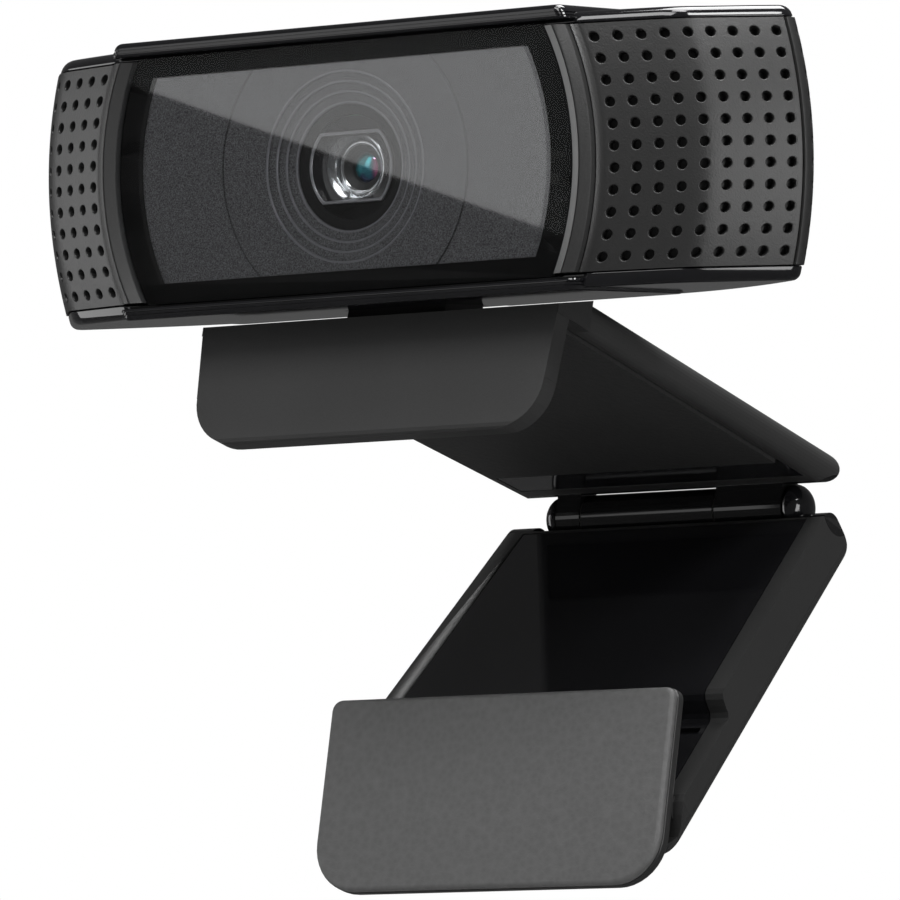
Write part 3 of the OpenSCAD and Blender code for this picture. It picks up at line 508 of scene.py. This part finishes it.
def slotted(piece):
    box = [(x, d, z) for x in (-SLOT_X, SLOT_X) for d in (SLOT_FRONT, SLOT_BACK) for z in (-16, -11)]
    tool_mesh = bpy.data.meshes.new("slot tool")
    tool_mesh.from_pydata([HEAD @ (Vector(p) * MM) for p in box], [],
                          [(0, 1, 3, 2), (4, 6, 7, 5), (0, 4, 5, 1), (2, 3, 7, 6), (0, 2, 6, 4), (1, 5, 7, 3)])
    tool = bpy.data.objects.new("slot tool", tool_mesh)
    bpy.context.scene.collection.objects.link(tool)
    even = piece.modifiers["even shading"]
    even.show_viewport = False
    cut = piece.modifiers.new("slot", "BOOLEAN")
    cut.object, cut.solver = tool, "EXACT"
    seen = piece.evaluated_get(bpy.context.evaluated_depsgraph_get())
    piece.data = bpy.data.meshes.new_from_object(seen)
    piece.modifiers.remove(cut)
    even.show_viewport = True
    bpy.data.objects.remove(tool)
    print(piece.name, "with its slot:", len(piece.data.vertices), "points")


for piece in cover("bottom_shell", -1, "bottom_cover", 13.7, 13.95, 0.35, 0.7):
    slotted(piece)

# %% [markdown]
# ## Grilles
# Each end is a turned shell with eleven rows of sound holes. Cutting a hundred cylinders out would spoil the smooth
# shading, so the sheet is woven hole by hole: every cell of the grid is a ring of quads from its square edge to a
# round, softened hole with a wall and a floor.

# %% Points on the turned shell
HOLE_RINGS = ((0.64, 0), (0.57, 0.0), (0.535, 0.02), (0.5, 0.07), (0.485, 0.2), (0.47, 1.2))
ROW_PITCH, COLUMN_PITCH, FIRST_COLUMN = 2.17, 2.265, 0.75
sheet_curve = [(30.35, 0.75), (30.6, 1.05), (30.85, 1.22)] + front_curve[:-1] + [
    (seam[0] - 0.1, SEAM_D - 0.14), (seam[0] - 0.14, SEAM_D)]
runs = [0.0]
for before, after in zip(sheet_curve, sheet_curve[1:]):
    runs.append(runs[-1] + math.dist(before, after))
VALLEY_RUN = runs[3]


def on_shell(run, z, inward=0.0):
    """A point that far along the outline and that high, drawn in along the surface normal."""
    k = max(i for i in range(len(runs) - 1) if runs[i] <= run or i == 0)
    (r0, d0), (r1, d1) = sheet_curve[k], sheet_curve[k + 1]
    t = (run - runs[k]) / (runs[k + 1] - runs[k])
    r, d = r0 + (r1 - r0) * t, d0 + (d1 - d0) * t
    a, b = sheet_curve[max(k - 1, 0)], sheet_curve[min(k + 2, len(sheet_curve) - 1)]
    size = math.dist(a, b)
    out_r, out_d = (b[1] - a[1]) / size, -(b[0] - a[0]) / size
    x = math.sqrt(r * r - z * z)
    return x - inward * out_r * x / r, d - inward * out_d, z - inward * out_r * z / r


# %% Weaving the sheet
SIDE_STEPS = 4
SHEET_T = 1.3
columns = [VALLEY_RUN + FIRST_COLUMN + COLUMN_PITCH * i for i in range(9)]
rows = [ROW_PITCH * i for i in range(-5, 6)]
mid = lambda values: [(a + b) / 2 for a, b in zip(values, values[1:])]
run_lines = [0, runs[2], VALLEY_RUN + 0.05] + mid(columns) + [runs[-3] - 0.02, runs[-2], runs[-1]]
height_lines = [-GRILLE_H, -GRILLE_H + 0.12] + mid(rows) + [GRILLE_H - 0.12, GRILLE_H]


def grille_mesh():
    points, faces = [], []

    def add(p):
        points.append(p)
        return len(points) - 1

    def ring(path):
        return [add(p) for p in path]

    def join(a, b):
        n = len(a)
        faces.extend((a[i], a[(i + 1) % n], b[(i + 1) % n], b[i]) for i in range(n))

    for i, (s0, s1) in enumerate(zip(run_lines, run_lines[1:])):
        for j, (z0, z1) in enumerate(zip(height_lines, height_lines[1:])):
            corners = [(s0, z0), (s1, z0), (s1, z1), (s0, z1)]
            edge = [(a[0] + (b[0] - a[0]) * k / SIDE_STEPS, a[1] + (b[1] - a[1]) * k / SIDE_STEPS)
                    for a, b in zip(corners, corners[1:] + corners[:1]) for k in range(SIDE_STEPS)]
            outer = ring(on_shell(s, z) for s, z in edge)
            hole = [(s, z) for s in columns for z in rows if s0 < s < s1 and z0 < z < z1]
            if hole:
                (s, z), = hole
                turns = [math.radians(-135 + 360 / len(edge) * k) for k in range(len(edge))]
                last = outer
                for r, sink in HOLE_RINGS:
                    path = ring(on_shell(s + r * math.cos(t), z + r * math.sin(t), sink) for t in turns)
                    join(last, path)
                    last = path
                faces.append(tuple(last))
            else:
                n = SIDE_STEPS
                grid = [[add(on_shell(s0 + (s1 - s0) * p / n, z0 + (z1 - z0) * q / n)) for p in range(n + 1)]
                        for q in range(n + 1)]
                faces.extend((grid[q][p], grid[q][p + 1], grid[q + 1][p + 1], grid[q + 1][p])
                             for q in range(n) for p in range(n))
            back = ring(on_shell(s, z, SHEET_T) for s, z in edge)
            faces.append(tuple(back))
            for k in range(len(edge)):
                a, b = edge[k], edge[(k + 1) % len(edge)]
                rim = any(a[c] == b[c] == lines[e]
                          for c, lines in ((0, run_lines), (1, height_lines)) for e in (0, -1))
                if rim:
                    m = (k + 1) % len(edge)
                    faces.append((outer[k], outer[m], back[m], back[k]))
    return points, faces


grille_points, grille_faces = grille_mesh()
for side, name in ((1, "right"), (-1, "left")):
    make_piece(name + "_grille_sheet", [(side * x, d, z) for x, d, z in grille_points], grille_faces, HEAD, "head",
               [grille_black], "satin_black", (name + "_grille",), weigh=False)

# %% [markdown]
# ## Frames beside the glass
# A ridge stands on each side of the glass: a satin flank towards the glass, a fine groove at its crest and a grainy
# flank outside. Its profile is swept up the height of the head, along the circle about the lens axis.

# %% Frames


def swept(profile, half_height, n=28):
    """Rings of the profile at each height on the turned surface."""
    heights = [half_height * (2 * i / n - 1) for i in range(n + 1)]
    return [[(math.sqrt(r * r - z * z), d, z) for r, d in profile] for z in heights]


frame_profile = [(27.95, 4.2), (27.95, 0.2), (28.0, 0.06), (28.9, -0.4), (29.03, -0.43), (29.06, -0.33),
                 (29.14, -0.33), (29.17, -0.44), (29.35, -0.42), (30.05, 0.02), (30.18, 0.14), (30.2, 0.3),
                 (30.2, 4.2)]
frame_points, frame_faces = stack(swept(frame_profile, GRILLE_H))
FLANK_STEPS = 4
light_flank = [int(f[0] % len(frame_profile) < FLANK_STEPS and len(f) == 4) for f in frame_faces]
for side, name in ((1, "right"), (-1, "left")):
    make_piece(name + "_frame", [(side * x, d, z) for x, d, z in frame_points], frame_faces, HEAD, "head",
               [frame_black, frame_light], "frame_plastic", ("side_frames",) if side > 0 else (), light_flank)

# %% [markdown]
# ## Faceplate
# The grey plate behind the glass steps down in rings towards the lens. It is made in polar rings out to its cut edge,
# so each step has a soft lip that catches light. The lips also get a lighter, shinier finish, which is a painted
# highlight.

# %% Faceplate with its rings
PLATE_D = 0.85
PLATE_H, PLATE_R = 11.9, 26.8
STEP = 0.28
RING_RADII = (6.35, 7.4, 8.41, 9.45)
plate_profile = [(5.3, 2.95), (5.3, 2.2), (6.3, 2.2)]
DISC_POINTS, RING_POINTS = 3, 5
for n, r in enumerate(RING_RADII):
    d = PLATE_D + STEP * (len(RING_RADII) - 1 - n)
    plate_profile += [(r, d + STEP - 0.02), (r, d + 0.1), (r + 0.07, d), (r + 0.22, d), (r + 0.26, d + 0.03)]
plate_profile += [(9.9, PLATE_D), (14.86, PLATE_D), (14.92, PLATE_D + 0.2),
                 (15.06, PLATE_D + 0.2), (15.12, PLATE_D), (19, PLATE_D), (PLATE_R, PLATE_D), (PLATE_R, 2.85)]


def plate_edge(r, t):
    return min(r, PLATE_H / max(abs(math.sin(t)), 0.01))


PLATE_N = 180
points, faces = stack([list(ring) for ring in zip(*lathe(plate_profile, PLATE_N, plate_edge))], closed=True)
size = len(plate_profile)


def plate_look(face):
    """0 speckled, 1 black, 2 painted highlight on a ring's lip, by the profile step that the face lies on."""
    low, high = min(k % size for k in face), max(k % size for k in face)
    step = low if high - low == 1 else size - 1
    if step < DISC_POINTS:
        return 1
    on_rings = step < DISC_POINTS + RING_POINTS * len(RING_RADII)
    return 2 if on_rings and step % RING_POINTS in (4, 0) else 0


look = [plate_look(f) for f in faces]
# The third finish puts a painted highlight on the rings' lips.
make_piece("faceplate_rings", points, faces, HEAD, "head", [speckled_grey, black_print, ring_lip_painted_highlight], "grey_faceplate",
           ("inner_faceplate",), look)

# %% [markdown]
# ## Lens
# A black ring with flats above and below holds a silver funnel. Behind it the lens barrel carries a bright ring and
# the coated front lens.

# %% Lens bezel and funnel
FLAT_N = 96


def flat_sided(profile, n=FLAT_N):
    """Rings of a circle cut by flats above and below, from [radius, half height, depth]."""
    turns = [2 * math.pi * i / n for i in range(n)]
    cut = lambda r, half, t: min(r, half / max(abs(math.sin(t)), 0.01))
    return [[(cut(r, h, t) * math.cos(t), d, cut(r, h, t) * math.sin(t)) for t in turns] for r, h, d in profile]


bezel = [(5.1, 3.6, 4.6), (5.1, 3.6, 2.02), (5.03, 3.53, 1.9), (4.83, 3.33, 1.9), (4.75, 3.25, 2.0),
         (4.72, 3.22, 2.88), (3.6, 3.2, 2.9), (3.6, 3.2, 4.6)]
points, faces = stack(flat_sided(bezel), closed=True)
rim = [int(FLAT_N <= min(f) < 4 * FLAT_N and max(f) < 5 * FLAT_N) for f in faces]
make_piece("bezel_ring", points, faces, HEAD, "head", [gloss_black, rim_grey], "gloss_black", ("lens_bezel",), rim)
funnel = flat_sided([(3.55, 3.18, 4.5), (3.55, 3.18, 2.84), (3.48, 3.14, 2.78), (3.35, 3.1, 2.8), (2.85, 2.85, 3.25),
                     (2.78, 2.78, 3.34), (2.78, 2.78, 4.5)])
make_piece("bezel_funnel", *stack(funnel, closed=True), HEAD, "head", [funnel_silver], "gloss_black")

# %% Barrel and front lens
BARREL_FRONT, BARREL_BACK = 3.8, 10.3
BARREL_N, DOME_N = 64, 48
DOME_R, DOME_RISE, DOME_D = 1.52, 0.42, 1.25
barrel_profile = [(3.2, BARREL_BACK)] + [(r, BARREL_FRONT + d) for r, d in (
    (3.2, 0.7), (2.72, 0.1), (2.6, 0), (2.45, 0), (2.3, 0.15), (1.6, 0.6), (1.5, 0.75), (1.5, 1.5), (2.9, 2))]
barrel_profile.append((2.9, BARREL_BACK))
points, faces = stack(lathe(barrel_profile, BARREL_N), closed=True)
bright = [int(BARREL_N <= min(f) and max(f) < 6 * BARREL_N) for f in faces]
make_piece("barrel_shell", points, faces, HEAD, "lens", [matte_black, ring_silver], "matte_black",
           ("lens_barrel",), bright)
dome = [(DOME_R * math.sin(math.radians(a)), BARREL_FRONT + DOME_D - DOME_RISE * math.cos(math.radians(a)))
        for a in range(4, 91, 8)]
dome_rings = lathe([(0.02, dome[0][1])] + dome + [(1.88, BARREL_FRONT + 1.52), (1.88, BARREL_FRONT + 1.88)], DOME_N)
make_piece("front_lens_dome", *stack(dome_rings), HEAD, "lens", [lens_coating], "lens_glass", ("front_lens",),
           weigh=False)

# %% [markdown]
# ## Foot
# The foot is a thin moulded plate with a soft grained pad on its face. The parting line between them shows round the
# edge, so they are two pieces with soft rims. A round knuckle behind the plate turns on the foot's pin.

# %% Foot plate and pad
FOOT_HALF, FOOT_LOW, FOOT_HIGH, FOOT_CORNER, TOP_CORNER = 21.2, -8.5, 11.9, 5.2, 1.2


def foot_loop(side):
    half, r = FOOT_HALF - side, FOOT_CORNER - side
    low = arc(half - r, FOOT_LOW + side + r, r, -90, 0, 10)
    high = arc(half - TOP_CORNER, FOOT_HIGH - side - TOP_CORNER, TOP_CORNER, 0, 90, 5)
    right = low + high
    return right + [(-x, u) for x, u in reversed(right)]


make_piece("foot_shell", *soft_slab(foot_loop(0), 1.75, 3.2, 0.7, 0.2), FOOT, "foot", [satin_black],
           "satin_black", ("foot_plate",))
make_piece("foot_grip", *soft_slab(foot_loop(0.05), 3.25, 4.05, 0.12, 0.5), FOOT, "foot", [foot_leather],
           "grey_rubber", ("foot_pad",))
KNUCKLE_R, KNUCKLE_HALF, KNUCKLE_TOP = 1.55, 7, 1.9
knuckle = arc(0, 0, KNUCKLE_R, 180, 360, 16) + [(KNUCKLE_R, KNUCKLE_TOP), (-KNUCKLE_R, KNUCKLE_TOP)]
knuckle_rings = [[(x, u, w) for u, w in inset(knuckle, by)]
                 for x, by in soft_levels(-KNUCKLE_HALF, KNUCKLE_HALF, 0.15, 0.15)]
make_piece("foot_knuckle", *stack(knuckle_rings), FOOT, "foot", [gloss_black], "satin_black")

# %% [markdown]
# ## Materials of the CAD nodes
# The nodes whose shape is right stay. Each takes its finish from its slot in the record, and a weld joins the corners
# that the import split, so that round sides shade smoothly.

# %% Finishes by slot
finishes = {
    "clear_glass": clear_glass, "black_print": black_print, "gloss_black": gloss_black, "satin_black": satin_black,
    "matte_black": matte_black, "lens_glass": lens_coating, "copper_wire": copper_wire, "magnet_metal": magnet_metal,
    "spring_brass": spring_brass, "chip_black": chip_black, "board_green": board_green, "bright_steel": bright_steel,
    "white_plastic": white_plastic, "black_rubber": black_rubber, "clear_plastic": clear_plastic,
    # The pad under the clip takes the darker leather, which is a painted shade.
    "insert_brass": insert_brass, "grey_rubber": pad_leather_painted_shade, "grey_faceplate": speckled_grey,
    "frame_plastic": frame_black,
}
special = {"bracket": lip_black, "arm_shell": arm_black, "hinge_caps": gloss_black}
for part in record["subparts"]:
    node = frame["nodes"][part["node"]]
    material = special.get(part["node"], finishes[part["material_slot"]])
    for slot in node.material_slots:
        slot.link = "OBJECT"
        slot.material = material
    weld = node.modifiers.new("weld", "WELD")
    weld.merge_threshold = WELD_MM * MM
print("nodes with a finish:", len(record["subparts"]))

# %% [markdown]
# ## Room
# A pale floor far below and a white surround. The floor is kept out of mirror reflections, and the surround is dim
# for everything but the camera, so that gloss black stays black. Soft boxes stand in front, overhead, high and low on the
# right, and at the left.

# %% Floor and surround
floor_mesh = bpy.data.meshes.new("floor")
FLOOR_HALF, DROP = 6.0, -0.55
corners = [(x * FLOOR_HALF, y * FLOOR_HALF, DROP) for x, y in ((-1, -1), (1, -1), (1, 1), (-1, 1))]
floor_mesh.from_pydata(corners, [], [(0, 1, 2, 3)])
floor = bpy.data.objects.new("floor", floor_mesh)
bpy.context.scene.collection.objects.link(floor)
floor_mesh.materials.append(plain("pale_floor", (0.8, 0.8, 0.8), 0.6, 0.0, 60))
floor.visible_glossy = False
SURROUND_GLOW = 0.1
world = bpy.data.worlds.new("studio")
bpy.context.scene.world = world
world.use_nodes = True
wt = world.node_tree
back = wt.nodes["Background"]
seen = wt.nodes.new("ShaderNodeLightPath")
white = wt.nodes.new("ShaderNodeBackground")
white.inputs[0].default_value = (1, 1, 1, 1)
back.inputs[0].default_value = (1, 1, 1, 1)
back.inputs[1].default_value = SURROUND_GLOW
pick = wt.nodes.new("ShaderNodeMixShader")
wt.links.new(seen.outputs["Is Camera Ray"], pick.inputs[0])
wt.links.new(back.outputs[0], pick.inputs[1])
wt.links.new(white.outputs[0], pick.inputs[2])
wt.links.new(pick.outputs[0], wt.nodes["World Output"].inputs[0])
print("floor at", DROP, "m, surround glow", SURROUND_GLOW)

# %% Lamps


def soft_box(name, place, aim, width, height, watts):
    lamp = bpy.data.lights.new(name, "AREA")
    lamp.shape, lamp.size, lamp.size_y, lamp.energy = "RECTANGLE", width, height, watts
    obj = bpy.data.objects.new(name, lamp)
    obj.location = place
    obj.rotation_euler = (Vector(aim) - Vector(place)).to_track_quat("-Z", "Y").to_euler()
    bpy.context.scene.collection.objects.link(obj)
    return obj


# name, place and aim in metres, width, height, watts
lamps = (
    ("front", (0.15, -1.1, 0.62), (0.02, 0, 0.02), 0.8, 0.6, 12),
    ("overhead", (0.05, 0.0, 1.0), (0, 0, 0), 0.8, 0.5, 16),
    ("upper_right", (0.95, -0.5, 0.75), (0.03, 0, 0.01), 0.4, 0.4, 9),
    ("left_side", (-0.9, -0.25, -0.1), (0, 0, 0), 0.4, 0.6, 2),
    ("low_right", (0.9, -0.2, -0.1), (0.02, 0, -0.03), 0.3, 0.5, 3),
    ("sky_right", (0.35, -0.55, 1.05), (0.03, 0, 0.02), 0.35, 0.3, 4),
)
for lamp in lamps:
    soft_box(*lamp)
print("lamps:", len(lamps))

# %% Camera
camera_data = bpy.data.cameras.new("camera")
camera_data.lens, camera_data.sensor_width = 380.87, 36
camera_data.clip_start, camera_data.clip_end = 0.05, 50
camera = bpy.data.objects.new("camera", camera_data)
bpy.context.scene.collection.objects.link(camera)
right = Vector((0.82131, 0.55403, 0.136))
down = Vector((-0.04865, 0.30555, -0.95093))
ahead = Vector((-0.5684, 0.77439, 0.27791))
turn = Matrix([(right[i], -down[i], -ahead[i]) for i in range(3)]).to_4x4()
camera.matrix_world = Matrix.Translation((0.54785, -0.75343, -0.27585)) @ turn
bpy.context.scene.camera = camera
bpy.context.scene.view_settings.view_transform = "Standard"
print("camera lens in mm:", camera_data.lens)

# %% [markdown]
# ## The card in the glass
# A flat glass shows a card only where the mirrored line of sight meets it. The card is placed from that: its lower
# edge runs where the sight lines through two points of the glass are mirrored to.

# %% Card


def mirrored(x, z, reach):
    """Where the sight line through that point of the glass meets the card, after reflection."""
    point = HEAD @ Vector((x * MM, 0, z * MM))
    sight = (point - camera.location).normalized()
    return point + sight.reflect(forward) * reach


REACH, CARD_GLOW, CARD_HEIGHT, CARD_SPREAD = 0.6, 1.2, 0.3, 1.6
EDGE_A, EDGE_B, LIT_SIDE = (-28, 10.8), (28, -9.1), (28, 12)
edge_a, edge_b, inside = (mirrored(x, z, REACH) for x, z in (EDGE_A, EDGE_B, LIT_SIDE))
edge = (edge_b - edge_a).normalized()
face = edge.cross(inside - edge_a).normalized()
if face.dot(HEAD.translation - edge_a) > 0:
    face = -face
rise = edge.cross(face)
rise = rise if rise.dot(inside - edge_a) > 0 else -rise
width, height = (edge_b - edge_a).length * CARD_SPREAD, CARD_HEIGHT
card = soft_box("card", (0, 0, 0), (0, 0, 1), width, height, CARD_GLOW * math.pi * width * height)
across = rise.cross(face)
middle = (edge_a + edge_b) / 2 + rise * height / 2
card.matrix_world = Matrix([[across[i], rise[i], face[i], middle[i]] for i in range(3)] + [[0, 0, 0, 1]])
print("card:", [round(v, 3) for v in middle], round(width, 3))

# %% End of the scene
print("the scene is set up")
